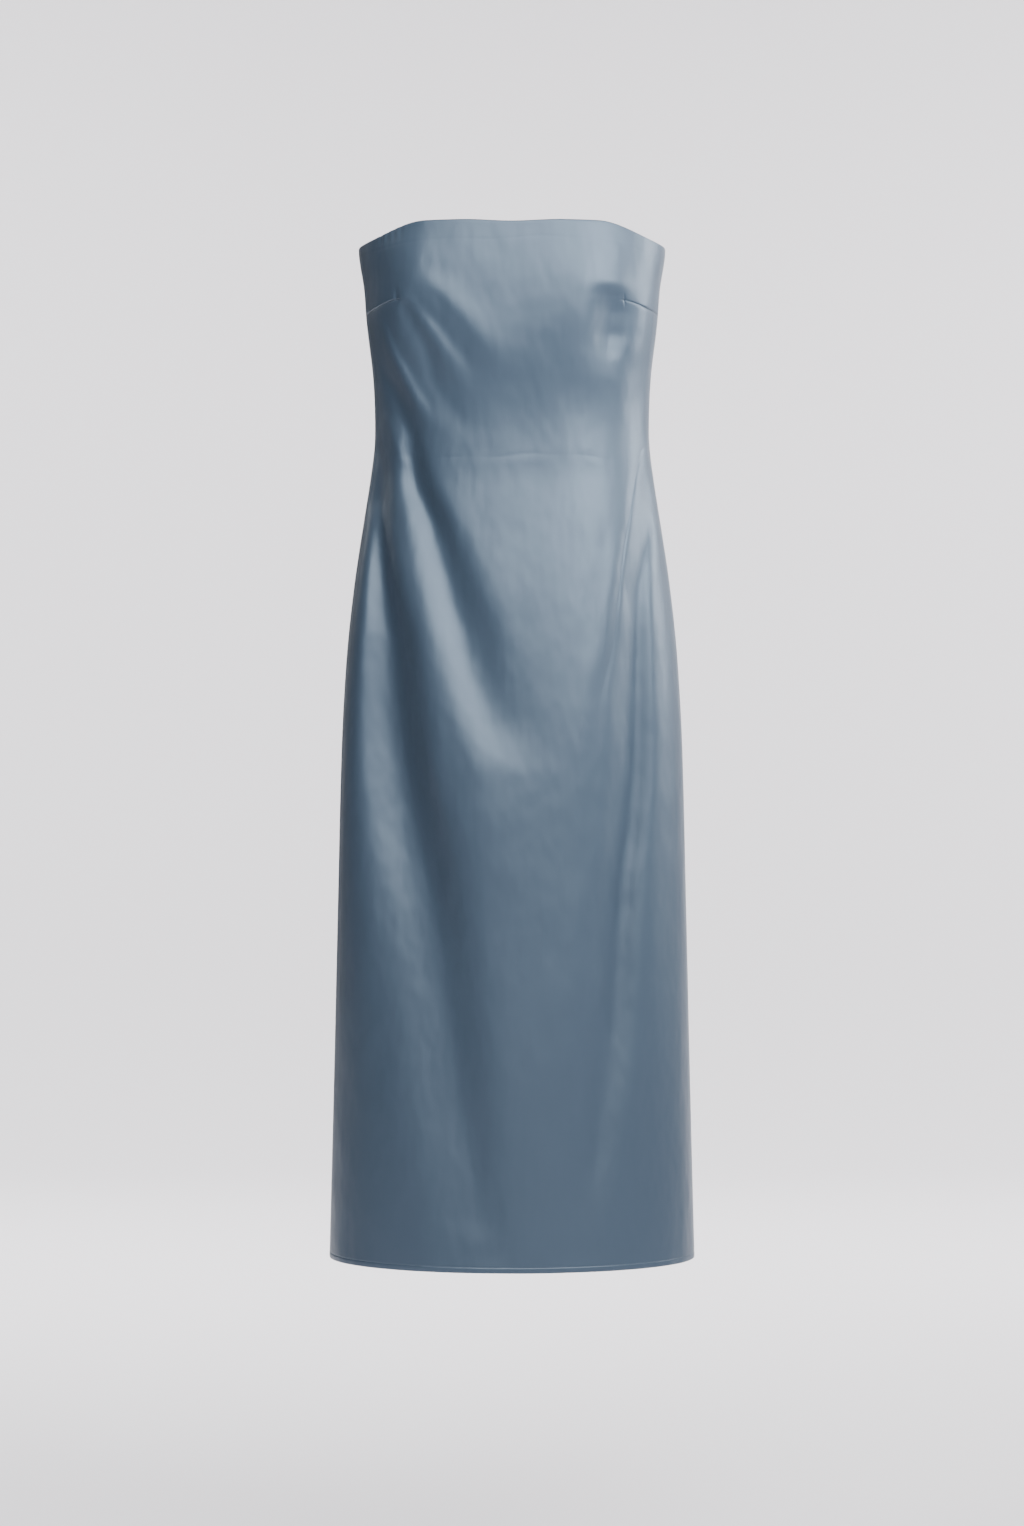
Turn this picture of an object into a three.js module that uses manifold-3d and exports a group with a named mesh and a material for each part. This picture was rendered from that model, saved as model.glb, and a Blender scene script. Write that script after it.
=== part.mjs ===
// A strapless satin column dress, hollow and filled out as if worn.
// Millimetres, +Z up, the front faces -Y, and the wearer's left is on the +X side.
// The origin is the middle of the ring where the bust holds the dress,
// at the height of the upper edge at the side seams.
//
// The cloth is cut as one front, with a bust dart from each side seam, and two backs
// joined by a concealed zip and a centre back seam. Each panel is a thin wall.
import * as THREE from 'three';
import Module from 'manifold-3d';
import { mergeVertices } from 'three/addons/utils/BufferGeometryUtils.js';

// Cloth and seams
const CLOTH = 1.2;          // wall of one panel, face cloth with its seam allowances
const TOP_FOLD = 2.0;       // wall where the upper edge is turned in
const HEM_FOLD = 2.4;       // wall where the hem is turned up and stitched
const TOP_FOLD_DEEP = 10;   // height of the turned upper edge
const HEM_FOLD_DEEP = 7;    // height of the narrow hem
const SEAM_GAP = 0.3;       // clearance between two panels at a seam
const HEM_Z = -1008;        // height of the hem
const DEGREE = Math.PI / 180;

// Sections of the dress by height: half width from the front view, depth of the front and of
// the back from the side seams, and how square each half is (2 is an ellipse).
const SECTIONS = [
  { z: 14, halfWidth: 153.5, front: 98, back: 86, squareFront: 2.35, squareBack: 2.15 },
  { z: -12, halfWidth: 153.0, front: 100, back: 87, squareFront: 2.35, squareBack: 2.15 },
  { z: -38, halfWidth: 148.0, front: 101, back: 87, squareFront: 2.35, squareBack: 2.15 },
  { z: -74, halfWidth: 145.5, front: 101, back: 86, squareFront: 2.3, squareBack: 2.15 },
  { z: -100, halfWidth: 142.4, front: 99.6, back: 83.2, squareFront: 2.26, squareBack: 2.13 },
  { z: -122, halfWidth: 139.5, front: 96.6, back: 80, squareFront: 2.2, squareBack: 2.1 },
  { z: -160, halfWidth: 137.2, front: 89.9, back: 74, squareFront: 2.1, squareBack: 2.1 },
  { z: -190, halfWidth: 136.8, front: 87.3, back: 71.5, squareFront: 2.1, squareBack: 2.1 },
  { z: -225, halfWidth: 140.5, front: 87.4, back: 73.5, squareFront: 2.1, squareBack: 2.1 },
  { z: -270, halfWidth: 147.5, front: 91.8, back: 84, squareFront: 2.1, squareBack: 2.1 },
  { z: -340, halfWidth: 158.0, front: 99.5, back: 101, squareFront: 2.1, squareBack: 2.1 },
  { z: -412, halfWidth: 165.5, front: 105, back: 110, squareFront: 2.1, squareBack: 2.1 },
  { z: -500, halfWidth: 170.3, front: 109.5, back: 112, squareFront: 2.05, squareBack: 2.05 },
  { z: -652, halfWidth: 174.0, front: 113, back: 113, squareFront: 2.0, squareBack: 2.0 },
  { z: -832, halfWidth: 178.0, front: 116.5, back: 116, squareFront: 2.0, squareBack: 2.0 },
  { z: -1010, halfWidth: 182.5, front: 119.5, back: 119, squareFront: 2.0, squareBack: 2.0 },
];

// The cups, one on each side of the front, that the bust darts give.
const CUPS = [
  { x: -98, z: -56, rise: 8, wide: 34, tall: 52 },
  { x: 80, z: -56, rise: 6.5, wide: 46, tall: 52 },
];

// The bust dart: from the side seam to its tip.
const DART = { seamZ: -70, tipZ: -62, tipX: 104, furrow: 1.0, half: 1.6 };

// Height of the upper edge: over the bust, in the dip between, at the sides and at the back.
const TOP_EDGE = { bust: 14, bustX: 85, side: -3, sideX: 156, dip: 2, dipX: 52, back: -5, fade: 70 };

// Soft folds. Each runs down the cloth through the stations given: height, place across, how wide
// its right and its left flank are, and how deep it sinks. A ridge has a depth below 0. The sides
// are the wearer's, so the right flank lies towards -X.
const FRONT_FOLDS = [
  { name: 'right hip valley', stations: [
    { z: -188, x: -134, right: 7, left: 6, depth: 0 },
    { z: -232, x: -129, right: 10, left: 8.5, depth: 10 },
    { z: -278, x: -129, right: 14, left: 8, depth: 13 },
    { z: -317, x: -127, right: 18, left: 10, depth: 17 },
    { z: -356, x: -123, right: 24, left: 12.5, depth: 20 },
    { z: -395, x: -118, right: 30, left: 16, depth: 23 },
    { z: -434, x: -115, right: 36, left: 19, depth: 25 },
    { z: -473, x: -111, right: 40, left: 20, depth: 27 },
    { z: -551, x: -99, right: 44, left: 23, depth: 28 },
    { z: -629, x: -85, right: 46, left: 28, depth: 23 },
    { z: -746, x: -66, right: 46, left: 29, depth: 16 },
    { z: -824, x: -56, right: 44, left: 28, depth: 12 },
    { z: -902, x: -41, right: 42, left: 27, depth: 8 },
    { z: -985, x: -16, right: 36, left: 24, depth: 3 }] },
  { name: 'right side ridge', stations: [
    { z: -250, x: -136, right: 5, left: 9, depth: 0 }, { z: -278, x: -140, right: 7, left: 13, depth: -5 },
    { z: -317, x: -146, right: 8, left: 17, depth: -9 },
    { z: -356, x: -151, right: 8, left: 21, depth: -12 },
    { z: -434, x: -158, right: 8, left: 26, depth: -14 },
    { z: -512, x: -162, right: 8, left: 29, depth: -14 },
    { z: -590, x: -164, right: 9, left: 31, depth: -11 },
    { z: -668, x: -165, right: 10, left: 32, depth: -8 },
    { z: -746, x: -166, right: 11, left: 32, depth: -5 },
    { z: -860, x: -167, right: 12, left: 32, depth: 0 }] },
  { name: 'right waist drape', stations: [
    { z: -100, x: -132, right: 6, left: 6, depth: 0 }, { z: -144, x: -117, right: 8, left: 7, depth: 3.5 },
    { z: -196, x: -98, right: 9, left: 7.5, depth: 6.5 },
    { z: -239, x: -92, right: 14, left: 10, depth: 11 },
    { z: -278, x: -78, right: 17, left: 13.5, depth: 12.5 },
    { z: -317, x: -67, right: 19, left: 19, depth: 12 },
    { z: -395, x: -46, right: 19, left: 30, depth: 11.5 },
    { z: -434, x: -35, right: 20, left: 34, depth: 10 },
    { z: -473, x: -21, right: 22, left: 36, depth: 7 },
    { z: -530, x: -2, right: 28, left: 40, depth: 0 }] },
  { name: 'right lower lip', stations: [
    { z: -440, x: -52, right: 16, left: 20, depth: 0 },
    { z: -480, x: -40, right: 18, left: 24, depth: -1.2 },
    { z: -520, x: -30, right: 20, left: 28, depth: -2.2 },
    { z: -560, x: -20, right: 20, left: 30, depth: -2.4 },
    { z: -610, x: -10, right: 22, left: 32, depth: -1.6 },
    { z: -680, x: 2, right: 24, left: 34, depth: 0 }] },
  { name: 'left hip valley', stations: [
    { z: -205, x: 130, right: 7, left: 6, depth: 0 }, { z: -268, x: 133, right: 11, left: 8, depth: 4 },
    { z: -307, x: 128, right: 14, left: 9, depth: 6 }, { z: -346, x: 123, right: 17, left: 10, depth: 8 },
    { z: -424, x: 121, right: 22, left: 12, depth: 12 },
    { z: -502, x: 120, right: 25, left: 13, depth: 14 },
    { z: -580, x: 114, right: 27, left: 14, depth: 15 },
    { z: -639, x: 107, right: 28, left: 15, depth: 14 },
    { z: -775, x: 97, right: 28, left: 17, depth: 11 }, { z: -892, x: 81, right: 27, left: 18, depth: 7 },
    { z: -985, x: 66, right: 26, left: 20, depth: 2.5 }] },
  { name: 'right dart drag', stations: [
    { z: -46, x: -96, right: 6, left: 6, depth: 0 }, { z: -72, x: -84, right: 8, left: 8, depth: 2 },
    { z: -90, x: -70, right: 9, left: 9, depth: 2 }, { z: -112, x: -54, right: 10, left: 10, depth: 1.5 },
    { z: -142, x: -34, right: 12, left: 13, depth: 0 }] },
  { name: 'right dart tongue', stations: [
    { z: -30, x: -84, right: 11, left: 16, depth: 0 }, { z: -56, x: -66, right: 11, left: 18, depth: -1.9 },
    { z: -81, x: -46, right: 12, left: 20, depth: -2.4 },
    { z: -102, x: -29, right: 12, left: 21, depth: -2 },
    { z: -124, x: -14, right: 14, left: 22, depth: -0.9 },
    { z: -150, x: 0, right: 16, left: 22, depth: 0 }] },
  { name: 'right under dart', stations: [
    { z: -60, x: -101, right: 6, left: 5, depth: 0 }, { z: -86, x: -92, right: 10, left: 7, depth: 3.4 },
    { z: -112, x: -82, right: 11, left: 8, depth: 3.6 },
    { z: -137, x: -76, right: 10, left: 10, depth: 2.6 },
    { z: -173, x: -58, right: 11, left: 13, depth: 1.4 },
    { z: -205, x: -42, right: 12, left: 14, depth: 0 }] },
  { name: 'left under dart', stations: [
    { z: -46, x: 92, right: 14, left: 16, depth: 0 }, { z: -60, x: 92, right: 15, left: 18, depth: 6.5 },
    { z: -75, x: 92, right: 16, left: 20, depth: 11 }, { z: -92, x: 92, right: 17, left: 20, depth: 11.5 },
    { z: -108, x: 92, right: 18, left: 18, depth: 8 }, { z: -123, x: 94, right: 18, left: 16, depth: 3 },
    { z: -142, x: 97, right: 18, left: 15, depth: 0 }] },
];
const BACK_FOLDS = [
  { name: 'back left hip valley', stations: [
    { z: -210, x: 122, right: 10, left: 10, depth: 0 }, { z: -300, x: 116, right: 14, left: 14, depth: 4 },
    { z: -450, x: 102, right: 20, left: 20, depth: 7 }, { z: -650, x: 84, right: 25, left: 25, depth: 9 },
    { z: -850, x: 66, right: 27, left: 27, depth: 7 }, { z: -985, x: 54, right: 27, left: 27, depth: 3 }] },
  { name: 'back right hip valley', stations: [
    { z: -215, x: -124, right: 10, left: 10, depth: 0 },
    { z: -310, x: -117, right: 14, left: 14, depth: 5 },
    { z: -450, x: -105, right: 20, left: 20, depth: 8 }, { z: -640, x: -90, right: 25, left: 25, depth: 9 },
    { z: -860, x: -74, right: 27, left: 27, depth: 6 },
    { z: -985, x: -64, right: 27, left: 27, depth: 3 }] },
];

// Zip
const ZIP = { foot: -430, tapeHalf: 12, tapeSlot: 1.0, tape: 0.7, clear: 0.35 };
const SLIDER = { top: -9, tall: 10, half: 3, deep: 3.4, neckHalf: 0.6, parting: 1.0 };
const BRIDGE = { gap: 1.5, bar: 0.9, tall: 6.2, leg: 1.0 };
const PULL = { long: 27, half: 2.1, footHalf: 3.1, thick: 0.9, eye: 5.4, eyeHalf: 1.0, bar: 0.5 };

// Mesh steps
const FRONT_COLUMNS = 48;
const BACK_COLUMNS = 14;
const EVEN_STEP = 1.45;     // width to depth ratio that spaces the columns evenly

// A smooth curve through the rows of a table: monotone between rows, so it never overshoots.
// With level ends it starts and stops without a slope.
function curveThrough(rows, column, levelEnds = false) {
  const z = rows.map((row) => row.z);
  const value = rows.map((row) => row[column]);
  const rise = z.slice(1).map((next, k) => (value[k + 1] - value[k]) / (next - z[k]));
  const slope = value.map((_, k) => {
    if (k === 0) return levelEnds ? 0 : rise[0];
    if (k === rise.length) return levelEnds ? 0 : rise[k - 1];
    const before = rise[k - 1];
    const after = rise[k];
    return before * after <= 0 ? 0 : (2 * before * after) / (before + after);
  });
  return (height) => {
    const at = Math.min(z[0], Math.max(z[z.length - 1], height));
    let k = 0;
    while (k < z.length - 2 && at < z[k + 1]) k += 1;
    const span = z[k + 1] - z[k];
    const t = (at - z[k]) / span;
    const t2 = t * t;
    const t3 = t2 * t;
    return (2 * t3 - 3 * t2 + 1) * value[k] + (t3 - 2 * t2 + t) * span * slope[k]
      + (3 * t2 - 2 * t3) * value[k + 1] + (t3 - t2) * span * slope[k + 1];
  };
}

// The same curve evened out over 24 mm of height, so that no row shows as a step in the cloth.
const EVEN_STEPS = [-12, -6, 0, 6, 12];
function evenCurve(rows, column) {
  const curve = curveThrough(rows, column);
  return (height) => EVEN_STEPS.reduce((sum, step) => sum + curve(height + step), 0) / EVEN_STEPS.length;
}

const section = {};
for (const column of ['halfWidth', 'front', 'back', 'squareFront', 'squareBack']) {
  section[column] = evenCurve(SECTIONS, column);
}

function foldCurves(folds) {
  return folds.map((fold) => ({
    top: fold.stations[0].z,
    foot: fold.stations[fold.stations.length - 1].z,
    x: curveThrough(fold.stations, 'x'),
    right: curveThrough(fold.stations, 'right'),
    left: curveThrough(fold.stations, 'left'),
    depth: curveThrough(fold.stations, 'depth', true),
  }));
}
const frontFolds = foldCurves(FRONT_FOLDS);
const backFolds = foldCurves(BACK_FOLDS);

const smooth = (from, to, value) => THREE.MathUtils.smoothstep(value, from, to);
const bell = (distance) => Math.exp(-distance * distance);

// Angles go round from the front: 0 is the front middle, 90 the +X seam, 180 the back middle.
const isFront = (angle) => Math.cos(angle) > 0;

function plainPoint(angle, z) {
  const front = isFront(angle);
  const depth = section[front ? 'front' : 'back'](z);
  const square = section[front ? 'squareFront' : 'squareBack'](z);
  const across = Math.abs(Math.sin(angle)) / section.halfWidth(z);
  const along = Math.abs(Math.cos(angle)) / depth;
  const radius = (across ** square + along ** square) ** (-1 / square);
  return new THREE.Vector3(radius * Math.sin(angle), -radius * Math.cos(angle), z);
}

// The angle at which the plain section passes a place across the dress.
function angleAt(x, z, front) {
  const halfWidth = section.halfWidth(z);
  const depth = section[front ? 'front' : 'back'](z);
  const square = section[front ? 'squareFront' : 'squareBack'](z);
  const share = Math.min(0.9999, Math.abs(x) / halfWidth);
  const y = depth * (1 - share ** square) ** (1 / square);
  return Math.atan2(x, front ? y : -y);
}

// How far the cups stand out from the plain section, less the furrow of the dart.
function rise(x, z) {
  let out = 0;
  for (const cup of CUPS) {
    out += cup.rise * bell((x - cup.x) / cup.wide) * bell((z - cup.z) / cup.tall);
  }
  const along = smooth(DART.tipX - 4, DART.tipX + 6, Math.abs(x));
  return out - DART.furrow * bell((z - dartZ(x)) / DART.half) * along;
}

// How far the folds sink towards the inside of the dress.
function sink(folds, x, z) {
  let deep = 0;
  for (const fold of folds) {
    if (z > fold.top || z < fold.foot - 40) continue;
    const away = x - fold.x(z);
    const reach = away < 0 ? fold.right(z) : fold.left(z);
    const fade = 1 - smooth(0, 40, fold.foot - z);
    deep += fold.depth(z) * fade * bell(away / reach);
  }
  return deep;
}

function dartZ(x) {
  const share = smooth(DART.tipX, 150, Math.abs(x));
  return DART.tipZ + (DART.seamZ - DART.tipZ) * share;
}

// A point of the outer face: cups stand out all round, folds sink straight back.
function surfacePoint(angle, z) {
  const point = plainPoint(angle, z);
  const front = isFront(angle);
  const free = 1 - smooth(0.985, 1, Math.abs(Math.sin(angle)));
  const out = front ? rise(point.x, z) * free : 0;
  const deep = front ? sink(frontFolds, point.x, z) : -sink(backFolds, point.x, z);
  point.x += out * Math.sin(angle);
  point.y += deep * free - out * Math.cos(angle);
  return point;
}

// The upper edge's height at a place across the dress.
function topRise(x, front) {
  const away = Math.abs(x);
  if (!front) return THREE.MathUtils.lerp(TOP_EDGE.back, TOP_EDGE.side, smooth(0, TOP_EDGE.sideX, away));
  const bust = TOP_EDGE.bust - TOP_EDGE.dip * (1 - smooth(0, TOP_EDGE.dipX, away));
  return THREE.MathUtils.lerp(bust, TOP_EDGE.side, smooth(TOP_EDGE.bustX, TOP_EDGE.sideX, away));
}

// Heights of the rows before they follow the upper edge and the darts.
function rowHeights(extra) {
  const rows = [0, -TOP_FOLD_DEEP, -TOP_FOLD_DEEP - 1.5, HEM_Z + HEM_FOLD_DEEP + 1.5,
    HEM_Z + HEM_FOLD_DEEP, HEM_Z, ...extra];
  for (let z = -24; z > -230; z -= 14) rows.push(z);
  for (let z = -240; z > HEM_Z + 30; z -= 27.5) rows.push(z);
  const spaced = [];
  for (const z of [...new Set(rows)].sort((a, b) => b - a)) {
    const close = spaced.length && spaced[spaced.length - 1] - z < 1.2;
    if (!close) spaced.push(z);
  }
  return spaced;
}

// Wall thickness at a row.
function wall(row) {
  if (row >= -TOP_FOLD_DEEP - 0.1) return TOP_FOLD;
  return row <= HEM_Z + HEM_FOLD_DEEP + 0.1 ? HEM_FOLD : CLOTH;
}

// Height at which a row passes a place across the dress: rows follow the upper edge and the darts.
function rowHeight(row, x, front) {
  const fade = Math.max(0, 1 + row / TOP_EDGE.fade) ** 2;
  const follow = front ? (dartZ(x) - DART.tipZ) * bell((row - DART.tipZ) / 16) : 0;
  return row + topRise(x, front) * fade + follow;
}

// A panel from one angle to another as outer and inner points, rows from the top down.
function panelPoints({ angles, rows, endGap }) {
  const outer = [];
  const inner = [];
  for (const row of rows) {
    const outerRow = [];
    const innerRow = [];
    angles.forEach((angle, column) => {
      const place = plainPoint(angle, row);
      const z = rowHeight(row, place.x, isFront(angle));
      const atEnd = column === 0 || column === angles.length - 1;
      const shift = atEnd ? endGap(column === 0 ? 0 : 1, z) / Math.hypot(place.x, place.y) : 0;
      const turned = angle + (column === 0 ? shift : -shift);
      const point = surfacePoint(turned, z);
      const normal = normalAt(turned, z);
      if (atEnd && Math.abs(Math.sin(angle)) > 0.9) normal.y = 0;
      if (atEnd && Math.abs(Math.sin(angle)) < 0.1) normal.x = 0;
      normal.normalize();
      outerRow.push(point);
      innerRow.push(point.clone().addScaledVector(normal, -wall(row)));
    });
    outer.push(outerRow);
    inner.push(innerRow);
  }
  return { outer, inner };
}

function normalAt(angle, z) {
  const step = 0.004;
  const drop = 1.5;
  const across = surfacePoint(angle + step, z).sub(surfacePoint(angle - step, z));
  const down = surfacePoint(angle, z - drop).sub(surfacePoint(angle, z + drop));
  const normal = down.cross(across).normalize();
  normal.z *= 0.5;           // keeps the inner wall's rows level near the edges
  return normal.normalize();
}

// A closed wall between two equal grids of points.
function closedWall(outer, inner) {
  const rows = outer.length;
  const columns = outer[0].length;
  const positions = [];
  for (const side of [outer, inner]) {
    for (const row of side) for (const p of row) positions.push(p.x, p.y, p.z);
  }
  const at = (side, row, column) => (side * rows + row) * columns + column;
  const index = [];
  const quad = (a, b, c, d) => index.push(a, b, c, a, c, d);
  for (let r = 0; r < rows - 1; r += 1) {
    for (let c = 0; c < columns - 1; c += 1) {
      quad(at(0, r, c), at(0, r + 1, c), at(0, r + 1, c + 1), at(0, r, c + 1));
      quad(at(1, r, c), at(1, r, c + 1), at(1, r + 1, c + 1), at(1, r + 1, c));
    }
    quad(at(1, r, 0), at(1, r + 1, 0), at(0, r + 1, 0), at(0, r, 0));
    const last = columns - 1;
    quad(at(0, r, last), at(0, r + 1, last), at(1, r + 1, last), at(1, r, last));
  }
  const foot = rows - 1;
  for (let c = 0; c < columns - 1; c += 1) {
    quad(at(0, 0, c), at(0, 0, c + 1), at(1, 0, c + 1), at(1, 0, c));
    quad(at(1, foot, c), at(1, foot, c + 1), at(0, foot, c + 1), at(0, foot, c));
  }
  const geometry = new THREE.BufferGeometry();
  geometry.setAttribute('position', new THREE.Float32BufferAttribute(positions, 3));
  geometry.setIndex(index);
  return geometry;
}

// Angles evenly spaced along the cloth between two quarter turns.
function evenAngles(from, to, count) {
  const angles = [];
  for (let k = 0; k <= count; k += 1) {
    const even = from + ((to - from) * k) / count;
    const turned = Math.atan2(EVEN_STEP * Math.sin(even), Math.cos(even));
    angles.push(turned + Math.round((even - turned) / (2 * Math.PI)) * 2 * Math.PI);
  }
  return angles;
}

const satin = new THREE.MeshStandardMaterial({
  color: 0x7f93a8, roughness: 0.38, metalness: 0.1, side: THREE.DoubleSide,
});
const tapeCloth = new THREE.MeshStandardMaterial({ color: 0x6f8298, roughness: 0.8, metalness: 0 });
const zipMetal = new THREE.MeshStandardMaterial({ color: 0x7a8da3, roughness: 0.35, metalness: 0.6 });

function makeMesh(name, geometry, material) {
  geometry.computeVertexNormals();
  const mesh = new THREE.Mesh(geometry, material);
  mesh.name = name;
  return mesh;
}

// The front: one panel from side seam to side seam, shaped by the two bust darts.
function makeFront() {
  const dartRows = [DART.tipZ + 5, DART.tipZ + 1.7, DART.tipZ, DART.tipZ - 1.7, DART.tipZ - 5];
  const { outer, inner } = panelPoints({
    angles: evenAngles(-90 * DEGREE, 90 * DEGREE, FRONT_COLUMNS),
    rows: rowHeights(dartRows),
    endGap: () => SEAM_GAP / 2,
  });
  return makeMesh('front', closedWall(outer, inner), satin);
}

// One back: from the side seam to the centre back, where the cloth parts round the slider.
function centreGap(z) {
  const middle = SLIDER.top - SLIDER.tall / 2;
  const away = Math.abs(z - middle);
  const parted = 1 - smooth(SLIDER.tall / 2, SLIDER.tall / 2 + 6, away);
  return SEAM_GAP / 2 + (SLIDER.parting - SEAM_GAP / 2) * parted;
}

const SLIDER_ROWS = [-3, -6, -14, -18];

function makeBack(name, from, to, centreEnd) {
  const { outer, inner } = panelPoints({
    angles: evenAngles(from * DEGREE, to * DEGREE, BACK_COLUMNS),
    rows: rowHeights(SLIDER_ROWS),
    endGap: (end, z) => (end === centreEnd ? centreGap(z) : SEAM_GAP / 2),
  });
  return makeMesh(name, closedWall(outer, inner), satin);
}

// One half of the zip tape: a strip sewn inside the back, beside the opening.
function makeTape(name, side) {
  const across = [ZIP.tapeSlot, 5, ZIP.tapeHalf];
  const places = side > 0 ? [...across].reverse() : across.map((x) => -x);
  const rows = rowHeights(SLIDER_ROWS).filter((row) => row <= SLIDER_ROWS[0] && row > ZIP.foot);
  const layer = (row, depth) => places.map((x) => {
    const z = rowHeight(row, x, false);
    const point = surfacePoint(angleAt(x, z, false), z);
    const thick = THREE.MathUtils.lerp(CLOTH, TOP_FOLD, smooth(-24, -12, row));
    return new THREE.Vector3(x, point.y - thick - ZIP.clear - depth, z);
  });
  const outer = rows.map((row) => layer(row, 0));
  const inner = rows.map((row) => layer(row, ZIP.tape));
  return makeMesh(name, closedWall(outer, inner), tapeCloth);
}

// Solids for joining.
const wasm = await Module();
wasm.setup();

function toSolid(geometry) {
  geometry.deleteAttribute('normal');
  geometry.deleteAttribute('uv');
  const merged = mergeVertices(geometry, 1e-4);
  return new wasm.Manifold(new wasm.Mesh({
    numProp: 3,
    vertProperties: new Float32Array(merged.attributes.position.array),
    triVerts: new Uint32Array(merged.index.array),
  }));
}

function toGeometry(solid) {
  const mesh = solid.getMesh();
  const geometry = new THREE.BufferGeometry();
  geometry.setAttribute('position', new THREE.BufferAttribute(new Float32Array(mesh.vertProperties), 3));
  geometry.setIndex(Array.from(mesh.triVerts));
  return geometry;
}

// The slider: a body behind the tapes, a neck through the parted cloth, and a bridge outside.
const clothY = surfacePoint(Math.PI, SLIDER.top - SLIDER.tall / 2).y;
const bridgeFoot = SLIDER.top - SLIDER.tall / 2 - BRIDGE.tall / 2;
const hinge = { y: clothY + 0.4 + BRIDGE.gap / 2, z: bridgeFoot + BRIDGE.leg + 0.85 };

function makeSlider() {
  const bodyFront = clothY - TOP_FOLD - ZIP.clear - ZIP.tape - 0.5;
  const body = new THREE.BoxGeometry(SLIDER.half * 2, SLIDER.deep, SLIDER.tall);
  body.translate(0, bodyFront - SLIDER.deep / 2, SLIDER.top - SLIDER.tall / 2);
  const outline = new THREE.Shape();
  const inside = bodyFront - 0.5;
  const outside = clothY + 0.4 + BRIDGE.gap + BRIDGE.bar;
  const head = bridgeFoot + BRIDGE.tall;
  outline.moveTo(inside, bridgeFoot);
  outline.lineTo(outside - 0.4, bridgeFoot);
  outline.lineTo(outside, bridgeFoot + 0.4);
  outline.lineTo(outside, head - 0.4);
  outline.lineTo(outside - 0.4, head);
  outline.lineTo(inside, head);
  const eye = new THREE.Path();
  eye.moveTo(clothY + 0.4, bridgeFoot + BRIDGE.leg);
  eye.lineTo(clothY + 0.4 + BRIDGE.gap, bridgeFoot + BRIDGE.leg);
  eye.lineTo(clothY + 0.4 + BRIDGE.gap, head - BRIDGE.leg);
  eye.lineTo(clothY + 0.4, head - BRIDGE.leg);
  outline.holes.push(eye);
  const plate = new THREE.ExtrudeGeometry(outline, { depth: SLIDER.neckHalf * 2, bevelEnabled: false });
  plate.translate(0, 0, -SLIDER.neckHalf);
  // The outline is drawn in the plane of depth and height, and its thickness runs across.
  const turn = new THREE.Matrix4().set(0, 0, 1, 0, 1, 0, 0, 0, 0, 1, 0, 0, 0, 0, 0, 1);
  plate.applyMatrix4(turn);
  return makeMesh('zip_slider', toGeometry(toSolid(body).add(toSolid(plate))), zipMetal);
}

// The pull tab: a flat drop with an eye that the bridge passes through.
function makePull() {
  const outline = new THREE.Shape();
  const foot = -PULL.long + PULL.footHalf;
  outline.moveTo(-PULL.half, PULL.bar);
  outline.lineTo(-PULL.half, -PULL.eye - 1.5);
  outline.lineTo(-PULL.footHalf, foot);
  outline.absarc(0, foot, PULL.footHalf, Math.PI, 2 * Math.PI, false);
  outline.lineTo(PULL.half, -PULL.eye - 1.5);
  outline.lineTo(PULL.half, PULL.bar);
  const eye = new THREE.Path();
  eye.moveTo(-PULL.eyeHalf, -PULL.bar);
  eye.lineTo(PULL.eyeHalf, -PULL.bar);
  eye.lineTo(PULL.eyeHalf, -PULL.eye);
  eye.lineTo(-PULL.eyeHalf, -PULL.eye);
  outline.holes.push(eye);
  const plate = { depth: PULL.thick, bevelEnabled: false, curveSegments: 10 };
  const tab = new THREE.ExtrudeGeometry(outline, plate);
  tab.translate(0, 0, -PULL.thick / 2);
  tab.rotateX(Math.PI / 2);
  const mesh = makeMesh('zip_pull', toGeometry(toSolid(tab)), zipMetal);
  mesh.position.set(0, hinge.y, hinge.z);
  return mesh;
}

const dress = new THREE.Group();
dress.name = 'strapless_dress';
dress.add(
  makeFront(),
  makeBack('back_left', 90, 180, 1),
  makeBack('back_right', 180, 270, 0),
  makeTape('zip_tape_left', 1),
  makeTape('zip_tape_right', -1),
  makeSlider(),
  makePull(),
);

export default dress;
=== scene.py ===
"""A strapless satin column dress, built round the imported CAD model.

Lengths in the tables are millimetres, as a pattern cutter would write them, and turn into metres
where a mesh is made. The front faces -Y, +Z is up, and +X is the wearer's left.
"""

import math

import bmesh
import bpy
import numpy as np
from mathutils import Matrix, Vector


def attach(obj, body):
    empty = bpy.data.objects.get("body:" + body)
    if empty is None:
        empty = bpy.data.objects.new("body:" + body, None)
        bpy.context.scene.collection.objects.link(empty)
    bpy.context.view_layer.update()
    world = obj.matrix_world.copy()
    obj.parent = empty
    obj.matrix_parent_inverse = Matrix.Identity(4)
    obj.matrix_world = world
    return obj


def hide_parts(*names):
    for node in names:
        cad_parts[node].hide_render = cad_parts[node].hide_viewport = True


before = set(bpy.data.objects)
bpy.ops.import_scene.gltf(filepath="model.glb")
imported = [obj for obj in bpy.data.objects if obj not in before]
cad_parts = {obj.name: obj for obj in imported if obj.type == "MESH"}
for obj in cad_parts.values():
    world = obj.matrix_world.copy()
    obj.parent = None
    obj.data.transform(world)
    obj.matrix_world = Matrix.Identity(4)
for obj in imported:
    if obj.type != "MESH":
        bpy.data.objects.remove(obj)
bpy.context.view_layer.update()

# Camera. Level and straight in front of the dress, at the height of the middle of the picture,
# where one pixel covers one millimetre in the plane of the side seams.
MM = 0.001
FILM = 36
PICTURE_TALL = 1526
CAMERA_AWAY = 3400
CAMERA_HEIGHT = -515
camera_data = bpy.data.cameras.new("camera")
camera_data.sensor_width = FILM
camera_data.lens = FILM * CAMERA_AWAY / PICTURE_TALL
camera_data.clip_end = 50
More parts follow.
